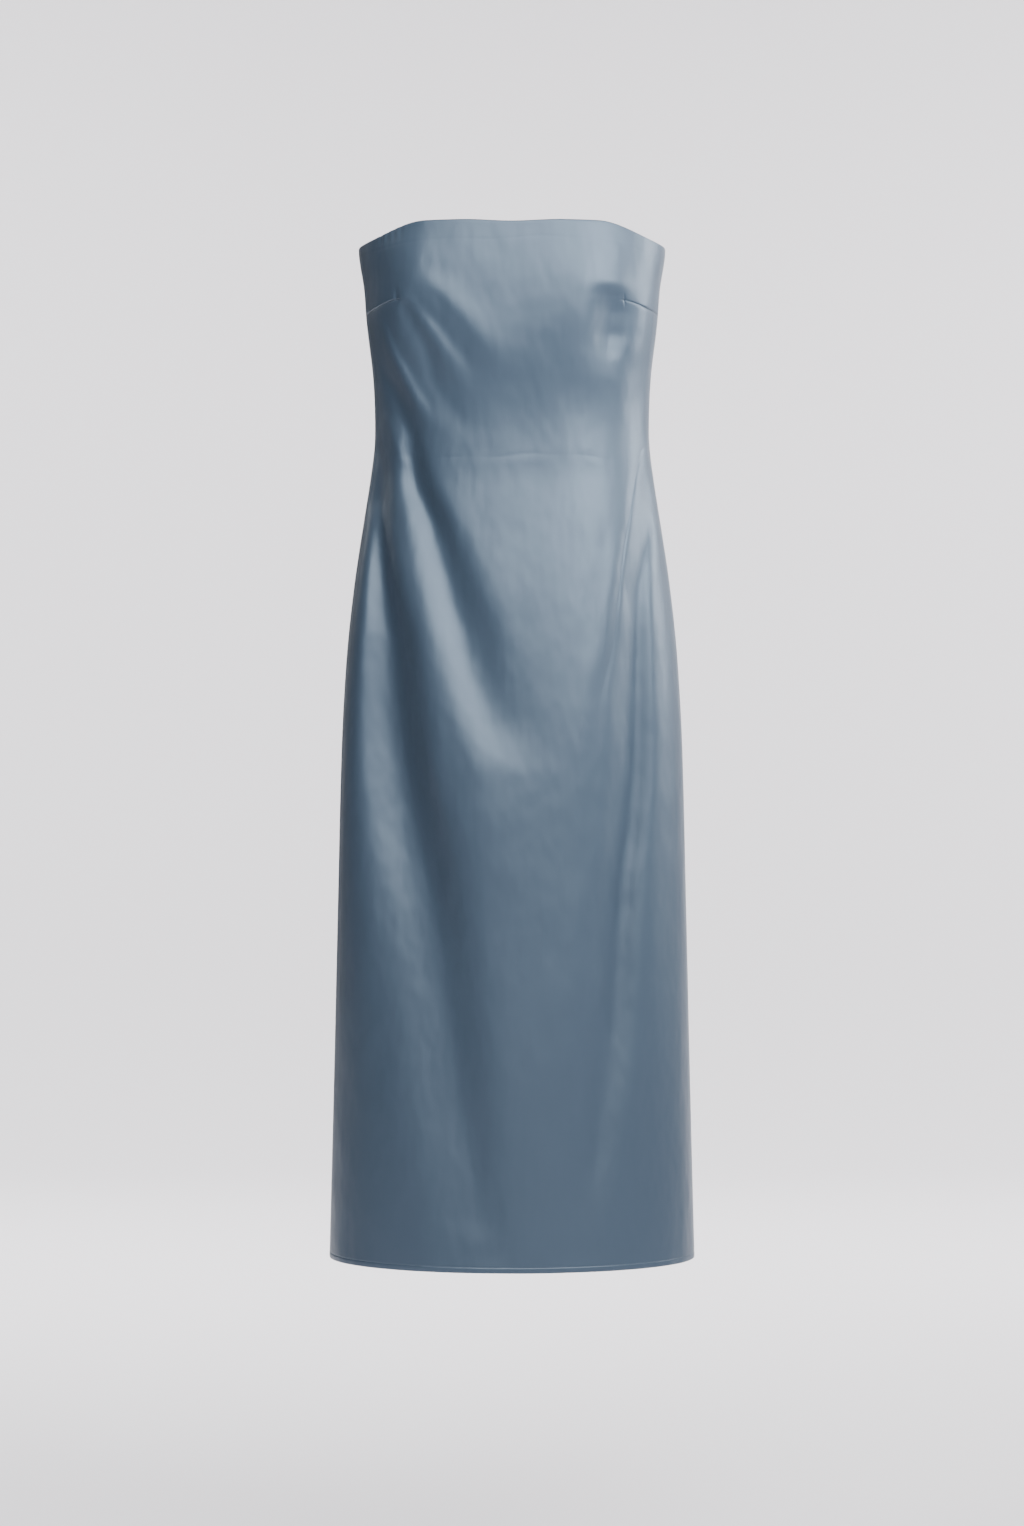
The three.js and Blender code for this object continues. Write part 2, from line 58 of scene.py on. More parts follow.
camera = bpy.data.objects.new("camera", camera_data)
camera.location = (0, -CAMERA_AWAY * MM, CAMERA_HEIGHT * MM)
camera.rotation_euler = (math.radians(90), 0, 0)
bpy.context.collection.objects.link(camera)
bpy.context.scene.camera = camera


# Satin. Warp-faced polyester satin in blue-grey: long floats down the cloth give a broad soft
# sheen, and a fine even thread shows close to. Wear leaves faint ripples that run down the cloth.
SATIN_THREAD = 0.00045


def noise(tree, place, scale, detail):
    """Soft even noise, read at a place."""
    node = tree.nodes.new("ShaderNodeTexNoise")
    node.inputs["Scale"].default_value = scale
    node.inputs["Detail"].default_value = detail
    tree.links.new(place, node.inputs["Vector"])
    return node.outputs["Fac"]


def stretch(tree, place, scale):
    """A place drawn out along its axes, so that a pattern read there runs one way."""
    node = tree.nodes.new("ShaderNodeMapping")
    node.inputs["Scale"].default_value = scale
    tree.links.new(place, node.inputs["Vector"])
    return node.outputs["Vector"]


def make_fine_weave():
    """Thread lines of a satin: fine ribs down the cloth, broken by short steps across it."""
    group = bpy.data.node_groups.new("satin_thread", "ShaderNodeTree")
    group.interface.new_socket(name="Place", in_out="INPUT", socket_type="NodeSocketVector")
    for name, way in (("Thread width", "INPUT"), ("Height", "OUTPUT"), ("Slub", "OUTPUT")):
        group.interface.new_socket(name=name, in_out=way, socket_type="NodeSocketFloat")
    nodes, links = group.nodes, group.links
    inside = nodes.new("NodeGroupInput")
    outside = nodes.new("NodeGroupOutput")
    per_thread = nodes.new("ShaderNodeMath")
    per_thread.operation = "DIVIDE"
    per_thread.inputs[0].default_value = 1.0
    links.new(inside.outputs["Thread width"], per_thread.inputs[1])
    scaled = nodes.new("ShaderNodeVectorMath")
    scaled.operation = "SCALE"
    links.new(inside.outputs["Place"], scaled.inputs[0])
    links.new(per_thread.outputs[0], scaled.inputs["Scale"])
    ribs = nodes.new("ShaderNodeTexWave")
    ribs.wave_type = "BANDS"
    ribs.bands_direction = "X"
    ribs.inputs["Scale"].default_value = 0.31
    ribs.inputs["Distortion"].default_value = 0.6
    ribs.inputs["Detail Scale"].default_value = 0.5
    links.new(scaled.outputs[0], ribs.inputs["Vector"])
    floats = noise(group, stretch(group, scaled.outputs[0], (0.9, 0.06, 1.0)), 1.0, 2.0)
    both = nodes.new("ShaderNodeMath")
    both.operation = "MULTIPLY_ADD"
    both.inputs[1].default_value = 0.5
    links.new(ribs.outputs["Fac"], both.inputs[0])
    links.new(floats, both.inputs[2])
    links.new(both.outputs[0], outside.inputs["Height"])
    links.new(floats, outside.inputs["Slub"])
    return group


fine_weave = make_fine_weave()


def new_finish(name):
    """A fresh material and its shader."""
    material = bpy.data.materials.new(name)
    material.use_nodes = True
    return material, material.node_tree.nodes["Principled BSDF"]


def object_place(tree):
    return tree.nodes.new("ShaderNodeTexCoord").outputs["Object"]


def woven(tree, thread_width):
    """The fine weave, laid on the flat cut of a cloth piece."""
    cut = tree.nodes.new("ShaderNodeUVMap")
    cut.uv_map = "cut"
    weave = tree.nodes.new("ShaderNodeGroup")
    weave.node_tree = fine_weave
    weave.inputs["Thread width"].default_value = thread_width
    tree.links.new(cut.outputs["UV"], weave.inputs["Place"])
    return weave


def dye(tree, first, second, share):
    """Colour that moves from one tone to another by a share that changes over the surface."""
    tone = tree.nodes.new("ShaderNodeMix")
    tone.data_type = "RGBA"
    tone.inputs["A"].default_value = (*first, 1)
    tone.inputs["B"].default_value = (*second, 1)
    tree.links.new(share, tone.inputs["Factor"])
    tree.links.new(tone.outputs["Result"], tree.nodes["Principled BSDF"].inputs["Base Color"])


def roughen(tree, low, high, share):
    """Roughness that moves between two values by a share that changes over the surface."""
    rough = tree.nodes.new("ShaderNodeMapRange")
    rough.inputs["To Min"].default_value = low
    rough.inputs["To Max"].default_value = high
    tree.links.new(share, rough.inputs["Value"])
    tree.links.new(rough.outputs["Result"], tree.nodes["Principled BSDF"].inputs["Roughness"])


def raise_relief(tree, strength, distance, height, over=None):
    """Fine relief, which lies over a broader one where that is given."""
    bump = tree.nodes.new("ShaderNodeBump")
    bump.inputs["Strength"].default_value = strength
    bump.inputs["Distance"].default_value = distance
    tree.links.new(height, bump.inputs["Height"])
    if over is not None:
        tree.links.new(over, bump.inputs["Normal"])
    tree.links.new(bump.outputs["Normal"], tree.nodes["Principled BSDF"].inputs["Normal"])
    return bump.outputs["Normal"]


def satin_material():
    """Its colour moves between two tones in soft clouds, over long ripples and the fine thread."""
    material, shader = new_finish("satin")
    tree = material.node_tree
    shader.inputs["Specular IOR Level"].default_value = 0.95
    shader.inputs["Specular Tint"].default_value = (0.66, 0.82, 1.0, 1)
    shader.inputs["IOR"].default_value = 1.5
    shader.inputs["Sheen Weight"].default_value = 0.05
    shader.inputs["Sheen Roughness"].default_value = 0.4
    thread = woven(tree, SATIN_THREAD)
    place = object_place(tree)
    dye(tree, (0.030, 0.047, 0.072), (0.036, 0.055, 0.083), noise(tree, place, 6.0, 3.0))
    roughen(tree, 0.43, 0.49, thread.outputs["Slub"])
    ripples = noise(tree, stretch(tree, place, (1.0, 1.0, 0.5)), 30.0, 2.0)
    worn = raise_relief(tree, 1.0, 0.0022, ripples)
    raise_relief(tree, 0.25, 0.00006, thread.outputs["Height"], worn)
    return material


satin = satin_material()

# The form of the dress. Rings of the filled-out cloth by height: half width, depth of the front
# and of the back from the side seams, and how square each half is, where 2 is an ellipse.
SECTIONS = [
    # height, half width, front, back, square front, square back
    (14, 153.5, 98, 86, 2.35, 2.15),
    (-12, 153.0, 100, 87, 2.35, 2.15),
    (-38, 148.0, 101, 87, 2.35, 2.15),
    (-74, 145.5, 101, 86, 2.3, 2.15),
    (-100, 142.4, 99.6, 83.2, 2.26, 2.13),
    (-122, 139.5, 96.6, 80, 2.2, 2.1),
    (-160, 137.2, 89.9, 74, 2.1, 2.1),
    (-190, 136.8, 87.3, 71.5, 2.1, 2.1),
    (-225, 140.5, 87.4, 73.5, 2.1, 2.1),
    (-270, 147.5, 91.8, 84, 2.1, 2.1),
    (-340, 158.0, 99.5, 101, 2.1, 2.1),
    (-412, 165.5, 105, 110, 2.1, 2.1),
    (-500, 170.3, 109.5, 112, 2.05, 2.05),
    (-652, 174.0, 113, 113, 2.0, 2.0),
    (-832, 178.0, 116.5, 116, 2.0, 2.0),
    (-1010, 182.5, 119.5, 119, 2.0, 2.0),
]
HEM = -1008
TOP_BUST, TOP_BUST_X = 14, 85
TOP_SIDE, TOP_SIDE_X = -3, 156
TOP_DIP, TOP_DIP_X = 2, 52
TOP_BACK = -5
TOP_FADE = 70
SOFTEN = (-12, -6, 0, 6, 12)


def curve_through(heights, values, level_ends=False):
    """A smooth curve by height through the rows of a table, which never overshoots them."""
    z = np.array(heights, float)[::-1]
    v = np.array(values, float)[::-1]
    span = np.diff(z)
    rise = np.diff(v) / span
    slope = np.empty(len(v))
    slope[0], slope[-1] = rise[0], rise[-1]
    before, after = rise[:-1], rise[1:]
    same = before * after > 0
    total = np.where(same, before + after, 1)
    slope[1:-1] = np.where(same, 2 * before * after / total, 0)
    if level_ends:
        slope[0] = slope[-1] = 0

    def at(height):
        h = np.clip(height, z[0], z[-1])
        k = np.clip(np.searchsorted(z, h, side="right") - 1, 0, len(z) - 2)
        t = (h - z[k]) / span[k]
        return ((2 * t**3 - 3 * t**2 + 1) * v[k] + (t**3 - 2 * t**2 + t) * span[k] * slope[k]
                + (3 * t**2 - 2 * t**3) * v[k + 1] + (t**3 - t**2) * span[k] * slope[k + 1])

    return at


def soft_curve(heights, values):
    """The same curve evened out over 24 mm, so that no row shows as a step in the cloth."""
    curve = curve_through(heights, values)
    return lambda height: sum(curve(height + step) for step in SOFTEN) / len(SOFTEN)


section_heights = [row[0] for row in SECTIONS]
half_width, front_depth, back_depth, front_square, back_square = (
    soft_curve(section_heights, [row[k] for row in SECTIONS]) for k in range(1, 6))


def smooth(low, high, value):
    """A soft step from 0 at low to 1 at high."""
    t = np.clip((value - low) / (high - low), 0, 1)
    return t * t * (3 - 2 * t)


def bell(distance):
    """A soft hump, 1 in its middle and close to 0 at a distance of 2."""
    return np.exp(-distance * distance)


def plain_point(angle, z):
    """The plain ring at an angle: 0 is the front middle, 90 degrees the +X seam."""
    front = np.cos(angle) > 0
    depth = np.where(front, front_depth(z), back_depth(z))
    square = np.where(front, front_square(z), back_square(z))
    across = np.abs(np.sin(angle)) / half_width(z)
    along = np.abs(np.cos(angle)) / depth
    radius = (across**square + along**square) ** (-1 / square)
    return radius * np.sin(angle), -radius * np.cos(angle)


def angle_at(x, z, front):
    """The angle of the place on the plain ring that lies x across."""
    depth = front_depth(z) if front else back_depth(z)
    square = front_square(z) if front else back_square(z)
    share = np.minimum(0.9999, np.abs(x) / half_width(z))
    y = depth * (1 - share**square) ** (1 / square)
    return np.arctan2(x, y if front else -y)


# Folds of the worn cloth. Each is a soft trough that runs down the cloth through its stations:
# height, place across, how wide its right and left flanks are, and depth, where a ridge is less
# than 0. The sides are the wearer's, so the right flank lies towards -X.
FRONT_FOLDS = {
    "right hip valley": [
        (-188, -134, 7, 6, 0), (-207, -131, 8, 7, 5), (-232, -129, 10, 8.5, 10),
        (-278, -129, 14, 8, 13), (-317, -127, 18, 10, 17), (-356, -123, 24, 12.5, 20),
        (-395, -118, 30, 16, 23), (-434, -115, 36, 19, 25), (-473, -111, 40, 20, 27),
        (-512, -106, 42, 21, 28), (-551, -99, 44, 23, 28), (-590, -92, 45, 26, 26),
        (-629, -85, 46, 28, 23), (-668, -78, 46, 29, 20), (-746, -66, 46, 29, 16),
        (-824, -56, 44, 28, 12), (-902, -41, 42, 27, 8), (-950, -31, 40, 26, 5.5),
        (-985, -16, 36, 24, 3)],
    "right side ridge": [
        (-250, -136, 5, 9, 0), (-278, -140, 7, 13, -5), (-317, -146, 8, 17, -9),
        (-356, -151, 8, 21, -12), (-434, -158, 8, 26, -14), (-512, -162, 8, 29, -14),
        (-590, -164, 9, 31, -11), (-668, -165, 10, 32, -8), (-746, -166, 11, 32, -5),
        (-860, -167, 12, 32, 0)],
    "right waist drape": [
        (-100, -132, 6, 6, 0), (-130, -124.5, 7, 7, 2.5), (-144, -117, 8, 7, 3.5),
        (-171, -107, 9, 8, 4.5), (-196, -98, 9, 7.5, 6.5), (-215, -96, 12, 8, 9),
        (-239, -92, 14, 10, 11), (-278, -78, 17, 13.5, 12.5), (-317, -67, 19, 19, 12),
        (-356, -57, 19, 24, 12), (-395, -46, 19, 30, 11.5), (-434, -35, 20, 34, 10),
        (-473, -21, 22, 36, 7), (-530, -2, 28, 40, 0)],
    "right lower lip": [
        (-440, -52, 16, 20, 0), (-480, -40, 18, 24, -1.2), (-520, -30, 20, 28, -2.2),
        (-560, -20, 20, 30, -2.4), (-610, -10, 22, 32, -1.6), (-680, 2, 24, 34, 0)],
    "left hip valley": [
        (-205, 130, 7, 6, 0), (-240, 134, 9, 7, 2.5), (-268, 133, 11, 8, 4),
        (-307, 128, 14, 9, 6), (-346, 123, 17, 10, 8), (-424, 121, 22, 12, 12),
        (-502, 120, 25, 13, 14), (-580, 114, 27, 14, 15), (-639, 107, 28, 15, 14),
        (-775, 97, 28, 17, 11), (-892, 81, 27, 18, 7), (-985, 66, 26, 20, 2.5)],
    "left waist crease": [
        (-199, 132.7, 2.0, 1.2, 0), (-204, 129, 2.2, 1.2, 0.7), (-224, 123.7, 2.6, 1.2, 0.9),
        (-263, 117, 3.5, 1.3, 1.1), (-311, 108.6, 4.5, 1.6, 1.3), (-357, 103, 6, 2.4, 1.5),
        (-395, 98.4, 8, 4, 1.7), (-454, 86, 10, 7, 2), (-512, 82, 12, 10, 2.2), (-610, 69, 14, 12, 1.5),
        (-678, 61.6, 14, 12, 0)],
    "left front drag": [
        (-270, 95, 9, 9, 0), (-303, 92, 10, 10, 0.9), (-350, 81, 11, 11, 1.3), (-395, 71, 12, 12, 1),
        (-440, 60, 12, 12, 0)],
    "right dart drag": [
        (-46, -96, 6, 6, 0), (-60, -91, 7, 7, 1.4), (-72, -84, 8, 8, 2), (-90, -70, 9, 9, 2),
        (-112, -54, 10, 10, 1.5), (-142, -34, 12, 13, 0)],
    "right under dart": [
        (-60, -101, 6, 5, 0), (-70, -97, 8, 6, 2.2), (-86, -92, 10, 7, 3.4), (-112, -82, 11, 8, 3.6),
        (-137, -76, 10, 10, 2.6), (-173, -58, 11, 13, 1.4), (-205, -42, 12, 14, 0)],
    "right dart tongue": [
        (-30, -84, 11, 16, 0), (-56, -66, 11, 18, -1.9), (-81, -46, 12, 20, -2.4),
        (-102, -29, 12, 21, -2.0), (-124, -14, 14, 22, -0.9), (-150, 0, 16, 22, 0)],
    "right dart ridge": [
        (-46, -100, 5, 5, 0), (-56, -95.5, 6, 6, -0.8), (-72, -88, 7, 7, -1.1), (-93, -76, 7, 8, -1.2),
        (-114, -64, 8, 8, -1.1), (-140, -50, 8, 9, -0.8), (-164, -34, 9, 10, 0)],
    "right bust ridge": [
        (-74, -127, 6, 5, 0), (-93, -122, 7, 5.5, -2), (-114, -115.5, 8, 6, -4), (-137, -105, 8, 7, -5),
        (-155, -96.5, 8, 7, -4.4), (-175, -86, 8, 8, -2.2), (-196, -76, 8, 9, 0)],
    "right waist ridge": [
        (-165, -127, 4, 4, 0), (-178, -123, 5, 5, -1.5), (-196, -117, 5, 5, -2),
        (-214, -110, 5, 5, -1.5), (-232, -104, 5, 6, 0)],
    "right side line": [
        (-196, -127.5, 1.4, 1.4, 0), (-217, -124.7, 1.4, 1.4, -0.35), (-277, -119, 1.6, 1.6, -0.5),
        (-326, -113.5, 2, 2, -0.4), (-372, -108, 2.4, 2.4, 0)],
    "right dart tick": [
        (-50, -107, 1.0, 1.0, 0), (-54, -107, 1.1, 1.1, 1.0), (-60, -107, 1.3, 1.3, 1.6),
        (-66, -107, 1.3, 1.3, 0)],
    "left under dart": [
        (-46, 92, 14, 16, 0), (-60, 92, 15, 18, 6.5), (-75, 92, 16, 20, 11), (-92, 92, 17, 20, 11.5),
        (-108, 92, 18, 18, 8), (-123, 94, 18, 16, 3), (-142, 97, 18, 15, 0)],
    "left dart tick": [
        (-55, 106, 1.1, 1.1, 0), (-59, 106, 1.2, 1.2, 0.8), (-64, 106.6, 1.3, 1.3, 1.3),
        (-69, 107, 1.2, 1.2, 0)],
}
BACK_FOLDS = {
    "left hip valley": [
        (-210, 122, 10, 10, 0), (-300, 116, 14, 14, 4), (-450, 102, 20, 20, 7), (-650, 84, 25, 25, 9),
        (-850, 66, 27, 27, 7), (-985, 54, 27, 27, 3)],
    "right hip valley": [
        (-215, -124, 10, 10, 0), (-310, -117, 14, 14, 5), (-450, -105, 20, 20, 8),
        (-640, -90, 25, 25, 9), (-860, -74, 27, 27, 6), (-985, -64, 27, 27, 3)],
    "left waist drag": [
        (-150, 118, 6, 6, 0), (-176, 104, 8, 7, 1.6), (-205, 88, 10, 9, 2.4),
        (-238, 66, 12, 11, 1.8), (-270, 44, 13, 12, 0)],
    "right waist drag": [
        (-160, -114, 6, 6, 0), (-188, -98, 8, 8, 2), (-214, -80, 9, 11, 2.8),
        (-246, -58, 11, 13, 1.8), (-276, -38, 12, 14, 0)],
    "right seat drag": [
        (-296, -136, 7, 8, 0), (-330, -122, 9, 11, 2.2), (-372, -98, 11, 14, 3),
        (-420, -70, 13, 17, 2.2), (-466, -42, 14, 18, 0)],
    "left seat drag": [
        (-310, 138, 8, 7, 0), (-346, 122, 11, 9, 1.8), (-392, 96, 14, 11, 2.4),
        (-444, 66, 16, 13, 1.6), (-490, 44, 17, 14, 0)],
}
FOLD_FADE = 40


def fold_sum(folds, x, z):
    """How deep all the folds of a table sink at each place on the cloth."""
    total = np.zeros_like(z)
    for stations in folds.values():
        heights = [row[0] for row in stations]
        place, right, left = (curve_through(heights, [row[k] for row in stations]) for k in (1, 2, 3))
        depth = curve_through(heights, [row[4] for row in stations], level_ends=True)
        away = x - place(z)
        reach = np.where(away < 0, right(z), left(z))
        inside = (z <= heights[0]) & (z >= heights[-1] - FOLD_FADE)
        fade = 1 - smooth(0, FOLD_FADE, heights[-1] - z)
        total += np.where(inside, depth(z) * fade * bell(away / reach), 0)
    return total


# Cups, darts and waist. The cloth stands out over the bust, and each bust dart is a seam whose
# lower lip lies deeper than its upper one. A faint creased line crosses the middle of the waist.
# The back has a long fish-eye dart on either side, deepest at the waist.
CUPS = [
    # place across, height, how far it stands out, how wide and how tall
    (-98, -56, 8, 34, 52),
    (80, -56, 6.5, 46, 52),
]
DART_SEAM, DART_SEAM_X = -70, 150
DART_TIP, DART_TIP_X = -62, 104
DART_STEP, DART_GROOVE, GROOVE_WIDE, DART_FOLLOW = 0.5, 0.9, 0.55, 16
RIGHT_LIP, LEFT_LIP = 5.0, 2.0
WAIST_CREASE, CREASE_SUNK, CREASE_RAISED = -215, 0.12, 0.2
CREASE_RIGHT, CREASE_LEFT = (-86, -50), (70, 108)
BACK_DART_TOP, BACK_DART_FOOT = (-92, -150), (-318, -250)
BACK_DART_X, BACK_DART_WAIST = 68, -200.0
BACK_DART_SEAM, BACK_DART_HOLLOW, BACK_DART_REACH = 1.5, 1.4, 92
SEAM_FREE = 0.985


def dart_height(x):
    return DART_TIP + (DART_SEAM - DART_TIP) * smooth(DART_TIP_X, DART_SEAM_X, np.abs(x))


def front_rise(x, z):
    """How far the front stands out from the plain ring at its cups, darts and waist crease."""
    rise = np.zeros_like(z)
    for place, height, stand, wide, tall in CUPS:
        rise += stand * bell((x - place) / wide) * bell((z - height) / tall)
    along = smooth(DART_TIP_X - 4, DART_TIP_X + 6, np.abs(x))
    below = dart_height(x) + 0.2 - z
    lip = np.where(x < 0, RIGHT_LIP, LEFT_LIP)
    rise -= DART_STEP * smooth(-0.5, 0.5, below) * bell(np.maximum(0, below) / lip) * along
    rise -= DART_GROOVE * bell((below - 0.3) / GROOVE_WIDE) * along
    level = WAIST_CREASE + 1.6 * np.sin(x / 24) + 0.9 * np.sin(x / 9)
    across = smooth(*CREASE_RIGHT, x) * (1 - smooth(*CREASE_LEFT, x))
    across = across * (0.6 + 0.4 * np.sin(x / 13 + 1))
    sunk = CREASE_SUNK * bell((z - level) / 1.8)
    raised = CREASE_RAISED * bell((z - level + 7) / 5)
    return rise - (sunk - raised) * across


def back_dart_home(side):
    return angle_at(side * BACK_DART_X, BACK_DART_WAIST, False)


def back_rise(angle, x, y, z):
    """How far the back sinks at its two waist darts, each a sewn line in a soft hollow."""
    rise = np.zeros_like(z)
    sewn = smooth(*BACK_DART_FOOT, z) * smooth(*BACK_DART_TOP, z)
    for side in (-1, 1):
        turned = (angle - back_dart_home(side) + math.pi) % (2 * math.pi) - math.pi
        away = turned * np.hypot(x, y)
        rise -= sewn * (BACK_DART_SEAM * bell(away / 1.2) + BACK_DART_HOLLOW * bell(away / 9))
    return rise


def cloth_point(angle, z, front):
    """The worn cloth: cups and darts stand out from the plain ring and folds sink straight back,
    and both die away at the side seams."""
    x, y = plain_point(angle, z)
    if front:
        rise = front_rise(x, z)
        sink = fold_sum(FRONT_FOLDS, x, z)
    else:
        rise = back_rise(angle, x, y, z)
        sink = -fold_sum(BACK_FOLDS, x, z)
    free = 1 - smooth(SEAM_FREE, 1, np.abs(np.sin(angle)))
    return np.stack([x + rise * free * np.sin(angle),
                     y - rise * free * np.cos(angle) + sink * free, z], axis=-1)


# Places where a hair-line crease runs down the front. The columns of the mesh lie closer there
# and lean over to follow the crease: height and place across.
GUIDES = {
    "right": [(-50, -107), (-66, -107), (-120, -118), (-200, -127), (-217, -124.7), (-277, -119),
              (-326, -113.5), (-372, -108)],
    "left": [(-60, 106), (-120, 110), (-196, 132.7), (-204, 129), (-224, 123.7), (-263, 117),
             (-311, 108.6), (-357, 103), (-395, 98.4), (-454, 86), (-512, 82)],
}
GUIDE_COLUMNS = [-3.2, -1.8, -0.9, -0.4, 0, 0.4, 0.9, 1.8, 3.2]
GUIDE_CLEAR = 4.4


def guide_home(stations):
    """The angle at the top of a guide, where its close columns belong."""
    return float(angle_at(stations[0][1], stations[0][0], True))


def follow_guides(angle, z):
    """Lean the columns of the front over, so that the close ones stay on their crease."""
    homes, targets = [-math.pi / 2], [-math.pi / 2]
    for name in ("right", "left"):
        stations = GUIDES[name]
        place = curve_through([s[0] for s in stations], [s[1] for s in stations])
        homes.append(guide_home(stations))
        targets.append(angle_at(place(z), z, True))
        if name == "right":
            homes.append(0)
            targets.append(0)
    homes.append(math.pi / 2)
    targets.append(math.pi / 2)
    moved = angle + 0 * z
    for k in range(len(homes) - 1):
        share = (angle - homes[k]) / (homes[k + 1] - homes[k])
        inside = (share >= 0) & (share <= 1)
        moved = np.where(inside, targets[k] + share * (targets[k + 1] - targets[k]), moved)
    return moved


def row_height(row, x, front):
    """Rows of the cloth follow the upper edge and the darts."""
    fade = np.maximum(0, 1 + row / TOP_FADE) ** 2
    away = np.abs(x)
    if not front:
        return row + (TOP_BACK + (TOP_SIDE - TOP_BACK) * smooth(0, TOP_SIDE_X, away)) * fade
    bust = TOP_BUST - TOP_DIP * (1 - smooth(0, TOP_DIP_X, away))
    rise = bust + (TOP_SIDE - bust) * smooth(TOP_BUST_X, TOP_SIDE_X, away)
    follow = (dart_height(x) - DART_TIP) * bell((row - DART_TIP) / DART_FOLLOW)
    return row + rise * fade + follow


# How the edges of each panel are turned. The upper edge goes over and 10 mm down the inside, the
# hem goes under and 7 mm up, and at each seam the allowance is pressed back inside. The backs
# part a little where the zip slider stands through. A step of a turning is its distance along the
# cloth from the edge and its inset from the face.
TURNED_TOP = [(10.5, 1.35), (8, 1.2), (5, 1.25), (2.4, 1.3), (0.9, 1.25), (0.25, 1.05), (0, 0.65),
              (0.25, 0.2), (0.8, 0.02)]
TURNED_HEM = [(0.8, 0.02), (0.25, 0.2), (0, 0.65), (0.25, 1.05), (0.9, 1.25), (2.6, 1.35),
              (4.6, 1.35), (6.2, 1.2), (7, 1.3)]
TOP_PRESS, PRESS_DEEP, PRESS_STANDS = -13.4, 0.07, 0.05
HEM_STITCH, STITCH_DEEP, HEM_STANDS = 5.5, 0.3, 0.12
TURNED_SEAM = [(12, 1.35), (8, 1.22), (3.5, 1.25), (1.2, 1.3), (0.4, 1.15), (0.03, 0.85),
               (0.08, 0.5), (0.4, 0.2), (1.1, 0.05), (2.4, 0)]
CORNER_DEEP, TUCK = 2.6, 1.3
PUCKER_START, PUCKER_END, PUCKER_PITCH, PUCKER_DEEP = -100, -134, 6.6, 0.6
PUCKER_ROW, PUCKER_COLUMNS = -8.0, 22
PARTED, PARTED_AT, PARTED_TALL, PARTED_FADE = 0.9, -14, 5, 6
CLOTH_THICK = 0.45
FIRST_ROW, WAIST_ROW, ROW_GAP, SKIRT_ROWS = 2.5, 230, 0.28, 1.35
RING_FLAT, NEAR_ROUND, NEAR_DOWN = 1.45, 0.003, 1


def cloth_rows(fine, extra):
    """Rows from the turned top to the turned hem, as height and inset, coarser below the waist."""
    flat = [-float(z) for z in np.arange(FIRST_ROW, WAIST_ROW, fine)]
    flat += [TOP_PRESS + step for step in (-3, -2.2, -1.5, -0.8, 0, 0.8, 1.5, 2.2, 3)]
    flat += [HEM + HEM_STITCH + step for step in (-2, -1.2, -0.7, -0.3, 0, 0.3, 0.7, 1.2)]
    flat += [-float(z) for z in np.arange(WAIST_ROW + fine, -HEM - FIRST_ROW, fine * SKIRT_ROWS)]
    flat += extra
    flat = sorted(set(round(z, 3) for z in flat), reverse=True)
    kept = [flat[0]]
    for z in flat[1:]:
        if kept[-1] - z > ROW_GAP:
            kept.append(z)
    rows = [(-along, inset) for along, inset in TURNED_TOP]
    rows += [(z, 0.0) for z in kept]
    rows += [(HEM + along, inset) for along, inset in TURNED_HEM]
    return rows


def even_angles(start, end, count):
    """Angles that space the columns evenly round a ring that is wider than it is deep."""
    even = np.linspace(start, end, count + 1)
    turned = np.arctan2(RING_FLAT * np.sin(even), np.cos(even))
    return turned + np.round((even - turned) / (2 * math.pi)) * 2 * math.pi


def front_angles(count):
    """Even columns for the front, with close ones at each guide and across the puckers."""
    angles = list(even_angles(-math.pi / 2, math.pi / 2, count))
    for stations in GUIDES.values():
        home = guide_home(stations)
        reach = float(np.hypot(*plain_point(np.array(home), np.array(float(stations[0][0])))))
        angles = [a for a in angles if abs(a - home) * reach > GUIDE_CLEAR]
        angles += [home + step / reach for step in GUIDE_COLUMNS]
    first, last = (angle_at(x, PUCKER_ROW, True) for x in (PUCKER_END, PUCKER_START))
    angles = [a for a in angles if not first < a < last]
    angles += list(np.linspace(first, last, PUCKER_COLUMNS))
    return np.array(sorted(angles))


def back_angles(start, end, count):
    """Even columns for a back, with close ones at its waist dart."""
    angles = list(even_angles(math.radians(start), math.radians(end), count))
    home = float(back_dart_home(1 if end <= 180 else -1)) % (2 * math.pi)
    angles = [a for a in angles if abs(a - home) * BACK_DART_REACH > GUIDE_CLEAR]
    return np.array(sorted(angles + [home + step / BACK_DART_REACH for step in GUIDE_COLUMNS]))


def surface_normal(angle, z, front):
    """The direction straight out of the cloth, from places close by on each side."""
    turn = cloth_point(angle + NEAR_ROUND, z, front) - cloth_point(angle - NEAR_ROUND, z, front)
    drop = cloth_point(angle, z - NEAR_DOWN, front) - cloth_point(angle, z + NEAR_DOWN, front)
    normal = np.cross(drop, turn)
    return normal / np.linalg.norm(normal, axis=-1, keepdims=True)


